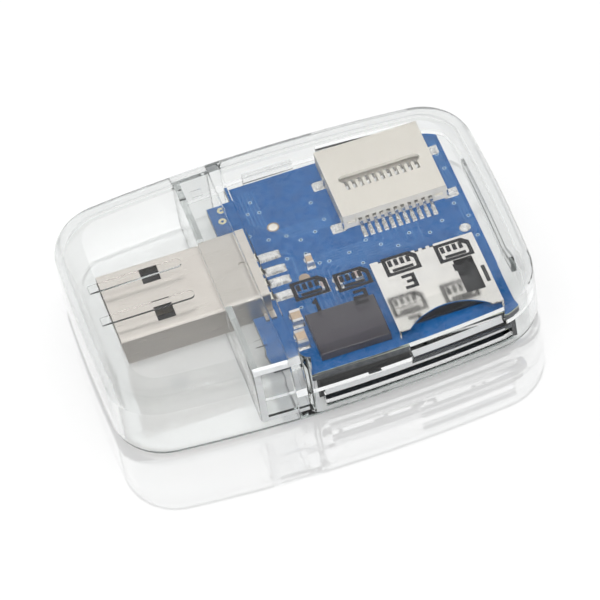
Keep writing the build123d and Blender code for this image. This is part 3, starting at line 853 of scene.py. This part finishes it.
@dataclass
class Board:
    """The circuit board with its plated holes, tracks, pads and solder."""

    skin: float = 0.2
    relief: float = 0.02
    lift: float = 0.004
    hole_radii: Pair = (0.15, 0.27)
    filled_hole: Pair = (-0.1, 8.45)
    fill_radius: float = 0.6
    fill_height: float = 0.08
    rim_radii: Pair = (0.58, 0.8)
    pegs: tuple[Pair, Pair] = ((0.95, -1.35), (21.85, -1.35))
    peg_radii: Pair = (0.72, 0.75)
    peg_heights: Pair = (0.1, 0.25)
    test_rings: tuple[Pair, Pair] = ((-5.33, 13.46), (-5.7, 11.62))
    test_radii: Pair = (0.2, 0.52)
    track: float = 0.16
    chip_edge: float = -8.2
    fan_count: int = 8
    fan_start: float = 2.4
    fan_corner: Pair = (0.9, 1.5)
    fan_pitch: Pair = (0.62, 0.42)
    fan_bends: Pair = (0.4, 0.8)
    tail_track: Pair = (-1.4, -0.8)
    tail_pitch: Pair = (0.2, 0.1)
    tail_bend: float = 0.7
    back_count: int = 5
    back_track: tuple[Pair, ...] = ((-2.6, 15.4), (-2.6, 10.0), (-0.2, 7.6), (7.0, 7.6))
    back_pitch: tuple[Pair, ...] = ((0.45, 0.0), (0.45, -0.45), (0.45, -0.45), (0.0, -0.45))
    end_count: int = 3
    end_track: tuple[Pair, ...] = ((22.3, 14.6), (22.3, -0.5), (20.5, -2.2))
    end_pitch: tuple[Pair, ...] = ((0.36, 0.0), (0.36, -0.4), (0.0, -0.12))
    solder: float = 0.16
    rear_pad: Pair = (0.6, 1.7)
    rear_inset: float = 0.6
    front_pad: Pair = (0.62, 1.0)
    front_inset: float = 0.35
    tab_pad: Pair = (1.9, 1.6)
    part_pad: float = 0.8
    part_inset: float = 0.1
    part_margin: float = 0.25
    tail_pad: Pair = (3.3, 1.45)
    tail_inset: float = 1.95
    tail_height: float = 0.42
    holes: tuple[Pair, ...] = (
        (-2.36, 11.81), (-0.94, 11.55), (5.49, 10.49), (6.17, 7.12), (4.5, 5.56), (6.87, 5.08), (2.44, 4.94),
        (2.32, 2.49), (-0.07, 2.58), (3.45, 0.28), (4.64, 0.1), (7.36, 0.46), (9.87, 1.63), (1.0, 6.32),
        (4.69, -2.83), (5.95, -3.05), (-1.52, 13.63), (-1.25, 6.59), (-3.27, 8.1), (11.4, 0.2), (13.3, -0.9),
        (15.2, 0.6), (17.6, -0.4), (19.6, 0.9), (21.9, 3.1), (22.7, 9.3), (22.6, 12.0), (8.4, -1.9),
        (22.9, -3.2), (-2.9, -3.4), (-0.9, -5.9), (22.9, 0.4),
    )

    def dress(self) -> None:
        """Put the mask on the board."""
        level = top_level("circuit_board") - self.skin
        blue, deep = (0.005, 0.105, 0.33), (0.0035, 0.08, 0.26)
        core, skin = (0.06, 0.066, 0.075), (0.6, 0.65, 0.5)
        dress(SolderMask("board_mask", blue, deep, core, skin, level * MM).material(), "circuit_board")

    def plated_holes(self, level: float) -> None:
        """Make the rings of the small plated holes, and near-black discs in them as painted shade for the
        inside of the holes.
        """
        skin = MouldedPlastic("masked_copper", (0.3, 0.48, 0.66), (0.42, 0.58, 0.72), (0.2, 0.3))
        ring = rings(self.holes, self.hole_radii, level, self.relief)
        ring.piece("board_hole_rings", skin.material(), "board_blue")
        # painted shade: near-black discs stand for the shade inside the holes
        dark = MouldedPlastic("hole_painted_shade", (0.01, 0.02, 0.05), (0.02, 0.035, 0.08), (0.3, 0.5))
        bore = discs(self.holes, self.hole_radii[0], level + self.lift, 0.0)
        bore.piece("board_hole_shade_discs", dark.material(), "board_blue")

    def large_holes(self, level: float) -> None:
        """Make the filled hole with its bare rim, the heads of the two pegs and two bare rings on the arm."""
        nylon = MouldedPlastic("hole_fill", (0.78, 0.74, 0.68), (0.7, 0.66, 0.6))
        fill = discs(self.filled_hole, self.fill_radius, level, self.fill_height)
        fill.piece("board_hole_fill", nylon.material(), "cream_plastic")
        bare = MouldedPlastic("bare_laminate", (0.34, 0.26, 0.17), (0.27, 0.2, 0.13))
        rim = rings(self.filled_hole, self.rim_radii, level, self.relief)
        rim.piece("board_hole_rim", bare.material(), "board_blue")
        left, right = (
            discs(place, radius, level, height)
            for place, radius, height in zip(self.pegs, self.peg_radii, self.peg_heights)
        )
        tan = MouldedPlastic("peg_moulding", (0.42, 0.33, 0.25), (0.34, 0.26, 0.19))
        left.piece("peg_head_left", tan.material(), "black_plastic")
        right.piece("peg_head_right", TinnedMetal("peg_tin", wave=1800.0).material(), "contact_metal")
        gold = SheetMetal("bare_ring", (0.8, 0.74, 0.5), (0.7, 0.64, 0.42), (0.2, 0.3))
        test = rings(self.test_rings, self.test_radii, level, self.relief)
        test.piece("board_test_rings", gold.material(), "contact_metal")

    def fan_track(self, x: float, step: int) -> Path:
        """Return the track from a lead of the rear socket at an X place, left and then down to the chip."""
        left = self.fan_corner[0] + self.fan_pitch[0] * step
        turn = self.fan_corner[1] - self.fan_pitch[1] * step
        near, far = self.fan_bends
        first = [(x, self.fan_start), (x, turn + near), (x - near, turn)]
        return first + [(left + far, turn), (left, turn - far), (left, self.chip_edge)]

    def tail_line(self, y: float, step: int) -> Path:
        """Return the track from a tail of the plug at a Y place, right and then down to the chip."""
        first, last = self.tail_track
        start = last + self.tail_pitch[0] * step
        right = start + self.tail_bend
        end = self.chip_edge + self.tail_pitch[1] * step
        return [(first, y), (start, y), (right, y - self.tail_bend), (right, end)]

    def tracks(self, level: float) -> None:
        """Make the copper tracks that show through the mask as faint raised bands."""
        leads = family("rear_socket_contact")[:self.fan_count]
        paths = [self.fan_track(middle(name)[0], step) for step, name in enumerate(leads)]
        paths += [self.tail_line(middle(name)[1], step) for step, name in enumerate(family("plug_contact"))]
        for path, pitch, count in (
            (self.back_track, self.back_pitch, self.back_count),
            (self.end_track, self.end_pitch, self.end_count),
        ):
            paths += [np.array(path) + step * np.array(pitch) for step in range(count)]
        bands = Surface.gather(ribbon(path, self.track, level - self.lift, self.relief) for path in paths)
        skin = MouldedPlastic("masked_track", (0.05, 0.19, 0.44), (0.035, 0.15, 0.37), (0.22, 0.32))
        bands.piece("board_tracks", skin.material(), "board_blue")

    def pads(self, level: float) -> None:
        """Make the tinned pads and the solder on them, under every foot."""
        pads: list[tuple[Pair, Pair]] = []
        for name in family("rear_socket_contact"):
            pads.append(((middle(name)[0], box(name)[0][1] + self.rear_inset), self.rear_pad))
        for name in family("front_socket_contact"):
            pads.append(((middle(name)[0], box(name)[1][1] - self.front_inset), self.front_pad))
        for name in family("rear_socket_tab"):
            pads.append((middle(name), self.tab_pad))
        for name in family("capacitor") + family("resistor"):
            x, y = middle(name)
            width, length, _ = np.ptp(box(name), axis=0)
            for side in (-1, 1):
                end = (x, y + side * (length / 2 - self.part_inset))
                pads.append((end, (width + self.part_margin, self.part_pad)))
        centres, sizes = np.array(pads).transpose(1, 0, 2)
        tin = TinnedMetal("pad_solder", wave=2600.0, depth=0.5)
        crowned(centres, sizes, level, self.solder).piece("board_pads", tin.material(), "contact_metal")

    def plug_solder(self, level: float) -> None:
        """Make the four long runs of solder over the tails of the plug."""
        start = box("plug_shell")[1][0] + self.tail_inset
        centres = np.array([(start, middle(name)[1]) for name in family("plug_contact")])
        runs = crowned(centres, np.full_like(centres, self.tail_pad), level, self.tail_height, 11)
        tin = TinnedMetal("tail_solder", wave=900.0, depth=0.6)
        runs.piece("plug_tail_solder", tin.material(), "contact_metal")

    def build(self) -> None:
        """Dress the board and build what lies on it."""
        self.dress()
        level = top_level("circuit_board")
        for layer in (self.plated_holes, self.large_holes, self.tracks, self.pads, self.plug_solder):
            layer(level)


@dataclass
class Plug:
    """The plug: a plated shell round a dark tongue with four contacts."""

    def build(self) -> None:
        """Dress the pieces of the plug."""
        # painted shade: upright=0.5 gives the shell's sides half the colour of its top
        shell = SheetMetal("plated_shell", (0.76, 0.71, 0.66), (0.72, 0.67, 0.62), (0.27, 0.33), upright=0.5)
        dress(shell.material(), "plug_shell")
        tongue = MouldedPlastic("tongue_moulding", (0.02, 0.02, 0.022), (0.035, 0.035, 0.038))
        dress(tongue.material(), "plug_tongue")
        blade = SheetMetal("contact_blade", (0.85, 0.8, 0.68), (0.76, 0.72, 0.62), (0.15, 0.25))
        dress(blade.material(), *family("plug_contact"))


@dataclass
class Sockets:
    """The three card sockets, with a thin black sheet on the floor of the large slot."""

    floor_reach: Pair = (-2.15, 21.3)
    floor_levels: Pair = (2.27, 2.35)
    setback: float = 1.0

    def build_rear(self) -> None:
        """Dress the cream socket with its tinned leads and tabs."""
        cream = MouldedPlastic("cream_moulding", (0.66, 0.625, 0.565), (0.61, 0.575, 0.52), (0.35, 0.5))
        dress(cream.material(), "rear_socket_housing")
        tin = TinnedMetal("lead_tin", wave=2200.0, depth=0.15)
        dress(tin.material(), *family("rear_socket_contact"), *family("rear_socket_tab"))

    def build_front(self) -> None:
        """Dress the bright steel shell, its black base and its contacts."""
        steel = SheetMetal("bright_shell", (0.85, 0.825, 0.785), (0.78, 0.755, 0.72), (0.1, 0.2), Axis.Y)
        dress(steel.material(), "front_socket_shell")
        black = MouldedPlastic("front_base_moulding", (0.012, 0.012, 0.014), (0.022, 0.022, 0.025))
        dress(black.material(), "front_socket_base")
        tin = TinnedMetal("front_lead_tin", wave=2200.0, depth=0.15)
        dress(tin.material(), *family("front_socket_contact"))

    def build_lower(self) -> None:
        """Dress the black frame under the board, its steel plate and its contacts, and lay the black sheet on
        the slot floor.
        """
        black = MouldedPlastic("lower_frame_moulding", (0.012, 0.014, 0.018), (0.02, 0.024, 0.03)).material()
        dress(black, "lower_socket_frame")
        # the plate is coloured near black
        plate = SheetMetal("near_black_plate", (0.04, 0.045, 0.055), (0.025, 0.028, 0.034), (0.3, 0.45))
        dress(plate.material(), "lower_socket_shell")
        self.slot_floor(black)
        blade = SheetMetal("lower_blade", (0.86, 0.78, 0.58), (0.78, 0.7, 0.52), (0.15, 0.25), Axis.Y)
        dress(blade.material(), *family("lower_socket_contact"))

    def slot_floor(self, finish: Material) -> None:
        """Make a thin black sheet on the floor of the large slot, from the socket to just inside the wall.

        Its section at an X place is a rectangle between the two levels, from the socket's front to the wall's
        arc, less the setback.
        """
        x = np.linspace(*self.floor_reach, 25)
        wall = front_wall(x, self.setback)
        socket = np.full_like(x, box("lower_socket_frame")[0][1])
        low, high = self.floor_levels
        corners = [(socket, high), (wall, high), (wall, low), (socket, low)]
        rows = [np.stack([x, y, np.full_like(x, level)], axis=1) for y, level in corners]
        Surface.swept(np.stack(rows, axis=1)).piece("slot_floor", finish, "black_plastic")

    def build(self) -> None:
        """Dress all three sockets."""
        self.build_rear()
        self.build_front()
        self.build_lower()


def rectangle(insets: Pair, levels: Pair) -> Path:
    """Return the corners of a rectangular section between two insets and two levels, in order."""
    (outer, inner), (low, high) = insets, levels
    return [(outer, low), (inner, low), (inner, high), (outer, high)]


@dataclass
class PaintedEdgeHighlights:
    """Painted highlights on the edges of the slots and of the neck: thin white strips just inside the
    plastic, standing for light that the clear edges catch.

    Each strip is a closed section of insets and levels swept along the front wall. A point with the inset i
    lies on the arc round the wall's middle whose radius is the wall's, less i.
    """

    sheet: float = 0.05
    slot_reach: Triple = (-2.1, 9.1, 21.3)
    slot_levels: Triple = (4.28, 4.6, 5.13)
    slot_insets: Pair = (0.06, 0.95)
    ledge_reach: Pair = (9.45, 21.25)
    ledge_insets: Pair = (0.2, 1.25)
    ledge_level: float = 5.5
    neck_reach: Triple = (-10.15, -9.32, -4.2)
    neck_insets: Pair = (1.26, 1.84)
    neck_levels: tuple[float, float, float, float] = (1.85, 2.4, 9.6, 10.19)

    def strip(self, section: Path, reach: Pair) -> Surface:
        """Sweep a closed section of insets and levels along the front wall.

        Args:
            section: Corners as inset and level, in millimetres.
            reach: First and last X place, in millimetres.

        Returns:
            The closed strip.
        """
        inset, level = np.array(section).T
        x = np.linspace(*reach, 25)[:, None]
        return Surface.swept(np.stack(np.broadcast_arrays(x, front_wall(x, inset), level), axis=-1))

    def slot_strips(self) -> list[Surface]:
        """Return the strips along the large slot and on the ledge over it."""
        outer, inner = self.slot_insets
        first, turn, last = self.slot_reach
        foot, brow, top = self.slot_levels
        back = outer + self.sheet
        under = top - self.sheet
        angle = [(outer, foot), (back, foot), (back, under), (inner, under), (inner, top), (outer, top)]
        ledge = rectangle(self.ledge_insets, (self.ledge_level - self.sheet, self.ledge_level))
        return [
            self.strip(angle, (first, turn)),
            self.strip(rectangle((outer, back), (foot, brow)), (turn, last)),
            self.strip(ledge, self.ledge_reach),
        ]

    def neck_strips(self) -> list[Surface]:
        """Return the strips on the neck's lead-in, foot and front edge."""
        first, turn, last = self.neck_reach
        face, sunk = self.neck_insets
        low, shoulder, high, crest = self.neck_levels
        back = face + self.sheet
        lead_in = [(face, high), (back, high), (sunk + self.sheet, crest), (sunk, crest)]
        return [
            self.strip(lead_in, (first, last)),
            self.strip(rectangle((face, back), (low, shoulder)), (first, last)),
            self.strip(rectangle((face, back), (shoulder, high)), (first, turn)),
        ]

    def build(self) -> None:
        """Make all the strips as one piece."""
        # painted highlight: near-white strips stand for the light caught by the clear edges
        highlight_white = MouldedPlastic("painted_edge_highlight", (0.88, 0.89, 0.9), (0.83, 0.84, 0.85), (0.4, 0.55))
        strips = Surface.gather(self.slot_strips() + self.neck_strips())
        strips.piece("slot_painted_highlight", highlight_white.material(), "clear_plastic")


@dataclass
class SmallParts:
    """The controller chip and the chip parts beside it."""

    tinned_share: float = 0.2

    def two_terminal(self, node: str, body: Colour, fleck: Colour) -> None:
        """Dress one chip part along its longer side.

        Args:
            node: CAD node of the part.
            body: Colour of its ceramic.
            fleck: Second colour of its ceramic.
        """
        low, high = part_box(node)
        size = [high[i] - low[i] for i in range(2)]
        axis = Axis.X if size[0] > size[1] else Axis.Y
        centre = (low[axis.value] + high[axis.value]) / 2
        reach = (0.5 - self.tinned_share) * size[axis.value]
        dress(TwoTerminal(f"{node}_finish", body, fleck, centre, reach, axis).material(), node)

    def build(self) -> None:
        """Dress the chip and the parts round it."""
        grey, fleck = (0.036, 0.032, 0.041), (0.053, 0.047, 0.058)
        chip = MouldedPlastic("chip_moulding", grey, fleck, (0.3, 0.45), pitch=6000.0)
        dress(chip.material(), "controller_chip")
        for node in family("capacitor"):
            self.two_terminal(node, (0.56, 0.42, 0.3), (0.48, 0.35, 0.24))
        for node in family("resistor"):
            self.two_terminal(node, (0.62, 0.5, 0.46), (0.5, 0.4, 0.37))


# Strokes of plain numerals, with each side from -0.5 to 0.5
NUMERALS: dict[int, list[Path]] = {
    1: [[(-0.3, 0.25), (0.0, 0.5), (0.0, -0.5)]],
    2: [[(-0.5, 0.5), (0.5, 0.5), (0.5, 0.0), (-0.5, 0.0), (-0.5, -0.5), (0.5, -0.5)]],
    3: [[(-0.5, 0.5), (0.5, 0.5), (0.5, -0.5), (-0.5, -0.5)], [(-0.2, 0.0), (0.5, 0.0)]],
    4: [[(-0.5, 0.5), (-0.5, 0.0), (0.5, 0.0)], [(0.5, 0.5), (0.5, -0.5)]],
}


@dataclass
class ClearCase:
    """The clear cap and the two clear halves of the body, with the ink marks over the slots."""

    wall: float = 1.1
    inner_radius: float = 2.65
    neck_radius: float = 1.8
    neck: Pair = (5.77, 10.45)
    neck_gap: float = 0.02
    cavity_start: float = -4.11
    marks: tuple[Pair, ...] = ((0.2, -8.1), (5.5, -8.8), (11.7, -8.8), (18.3, -9.3))
    card: Pair = (2.2, 1.6)
    cut: float = 0.8
    line: float = 0.5
    stroke: float = 0.5
    bar_count: int = 4
    bar_places: Pair = (-0.6, 0.45)
    bar_ends: Pair = (0.62, -0.05)
    rule_half: float = 0.6
    rule_drop: float = 0.5
    digit: Pair = (1.4, 1.9)
    digit_gap: float = 0.65
    film: float = 0.004

    def dress(self) -> None:
        """Put clear plastic on the three mouldings, and round their inside edges."""
        dress(ClearPlastic("clear_moulding").material(), "cap", "top_case", "bottom_case")
        low, high = CAD_BOX
        size = (Vector(high) - Vector(low)) / MM
        plan = CasePlan(size[0], size[1])
        roof = top_level("top_case") - self.wall
        wide = InnerRadius(plan, self.wall, roof, self.inner_radius)
        narrow = InnerRadius(plan, self.wall, roof, self.neck_radius)
        start, stop = self.neck
        over_neck = narrow.sides(start, stop - self.neck_gap, True)
        cap_edge = Surface.gather([wide.round_end(stop, True), over_neck])
        edge = ClearPlastic("clear_inner_edge", gloss=0.0).material()
        cap_edge.piece("cap_inner_edge", edge, "clear_plastic", Body.CAP)
        wide.round_end(self.cavity_start, False).piece("body_inner_edge", edge, "clear_plastic")

    def mark(self, number: int, centre: Pair, level: float) -> Surface:
        """Make one mark: a card with contact bars and a rule, and a numeral under it.

        Args:
            number: The numeral, from 1 to 4.
            centre: Middle of the card in millimetres.
            level: Level of the ink in millimetres.

        Returns:
            The surface, in metres.
        """
        x, y = centre
        a, b = self.card
        bars = [x + place * a for place in np.linspace(*self.bar_places, self.bar_count)]
        paths = [[(bar, y + end * b) for end in self.bar_ends] for bar in bars]
        paths.append([(x + side * self.rule_half * a, y - self.rule_drop * b) for side in (-1, 1)])
        width, height = self.digit
        digit_y = y - b - self.digit_gap - height / 2
        paths += [[(x + width * u, digit_y + height * v) for u, v in stroke] for stroke in NUMERALS[number]]
        frame_line = card_ring(centre, self.card, self.cut, self.line, level)
        return Surface.gather([frame_line] + [ribbon(path, self.stroke, level, 0.0) for path in paths])

    def print_marks(self) -> None:
        """Put the ink marks on the top face, one over each kind of slot."""
        ink = PrintInk("mark_ink").material()
        level = top_level("top_case") - self.film
        for number, centre in enumerate(self.marks, start=1):
            self.mark(number, centre, level).piece(f"slot_mark_{number}", ink, "black_plastic")

    def build(self) -> None:
        """Dress the mouldings and print on them."""
        self.dress()
        self.print_marks()


@dataclass
class Studio:
    """The white sheet, the soft light and the camera, in metres and watts."""

    reach: float = 1.5
    drop: float = 0.00004
    room: float = 1.15
    bright_side: Triple = (0.0, 0.6, 0.8)
    steps: tuple[Pair, ...] = ((0.2, 0.2), (0.5, 0.38), (0.62, 0.5), (0.75, 0.82), (0.93, 1.0))
    key_place: Triple = (-0.06, -0.58, 0.8)
    key_size: float = 0.16
    key_power: float = 3.2
    sensor: float = 36.0
    lens: float = 325.86
    clip: Pair = (0.01, 10.0)
    eye: Triple = (-0.077927, -0.453030, 0.491104)
    right: Triple = (0.947086, -0.296413, -0.123158)
    down: Triple = (-0.299211, -0.676386, -0.673033)
    ahead: Triple = (0.116194, 0.674271, -0.729286)
    bounces: int = 32
    glossy_bounces: int = 12

    def sheet(self) -> None:
        """Lay the white sheet just under the reader."""
        x, y = np.meshgrid((-self.reach, self.reach), (-self.reach, self.reach))
        grid = np.stack([x, y, np.full_like(x, -self.drop)], axis=-1)[None]
        table = Surface.from_grids(grid).solid("table_top", TableTop("table_sheet").material())

    def world(self) -> None:
        """Fill the room with light that is white above and behind, and greyer low down in front.

        The grey is read from a row of steps, by half of one plus the cosine between a direction and the
        bright side.
        """
        graph = Graph("soft_room", world=True)
        graph.owner.cycles.sampling_method = "NONE"
        place = graph.add("TexCoord", key="Generated")
        cosine = graph.add("VectorMath", {0: place, 1: self.bright_side}, "Value", operation="DOT_PRODUCT")
        share = graph.math("ADD", graph.math("MULTIPLY", cosine, 0.5), 0.5)
        ramp = graph.add("ValToRGB", {"Fac": share}, "Color")
        stops = ramp.node.color_ramp.elements
        for position, _ in self.steps[len(stops):]:
            stops.new(position)
        for stop, (position, grey) in zip(stops, self.steps):
            stop.position = position
            stop.color = (grey, grey, grey, 1.0)
        bpy.context.scene.world = graph.shade(graph.add("Background", {"Color": ramp, "Strength": self.room}))

    def key_lamp(self) -> None:
        """Hang a square lamp that faces the reader and isn't mirrored."""
        lamp = bpy.data.lights.new("key", "AREA")
        lamp.shape = "SQUARE"
        lamp.size = self.key_size
        lamp.energy = self.key_power
        lamp.cycles.use_multiple_importance_sampling = False
        holder = bpy.data.objects.new("key", lamp)
        holder.visible_glossy = False
        holder.location = self.key_place
        holder.rotation_euler = (-Vector(self.key_place)).to_track_quat("-Z", "Y").to_euler()
        bpy.context.scene.collection.objects.link(holder)

    def camera(self) -> None:
        """Set the camera where the picture was taken from."""
        data = bpy.data.cameras.new("view")
        data.sensor_width = self.sensor
        data.lens = self.lens
        data.clip_start, data.clip_end = self.clip
        turn = Matrix((Vector(self.right), -Vector(self.down), -Vector(self.ahead))).transposed()
        view = bpy.data.objects.new("view", data)
        view.matrix_world = Matrix.Translation(self.eye) @ turn.to_4x4()
        bpy.context.scene.collection.objects.link(view)
        bpy.context.scene.camera = view

    def build(self) -> None:
        """Set the stage."""
        self.sheet()
        self.world()
        self.key_lamp()
        self.camera()
        scene = bpy.context.scene
        scene.view_settings.view_transform = "Standard"
        scene.cycles.max_bounces = self.bounces
        scene.cycles.transmission_bounces = self.bounces
        scene.cycles.transparent_max_bounces = self.bounces
        scene.cycles.glossy_bounces = self.glossy_bounces


def main() -> None:
    """Build the reader from the inside out, then the studio round it."""
    logging.basicConfig(level=logging.INFO, format="%(name)s: %(message)s")
    for part in (Board(), Plug(), Sockets(), PaintedEdgeHighlights(), SmallParts(), ClearCase(), Studio()):
        part.build()


if __name__ == "__main__":
    main()
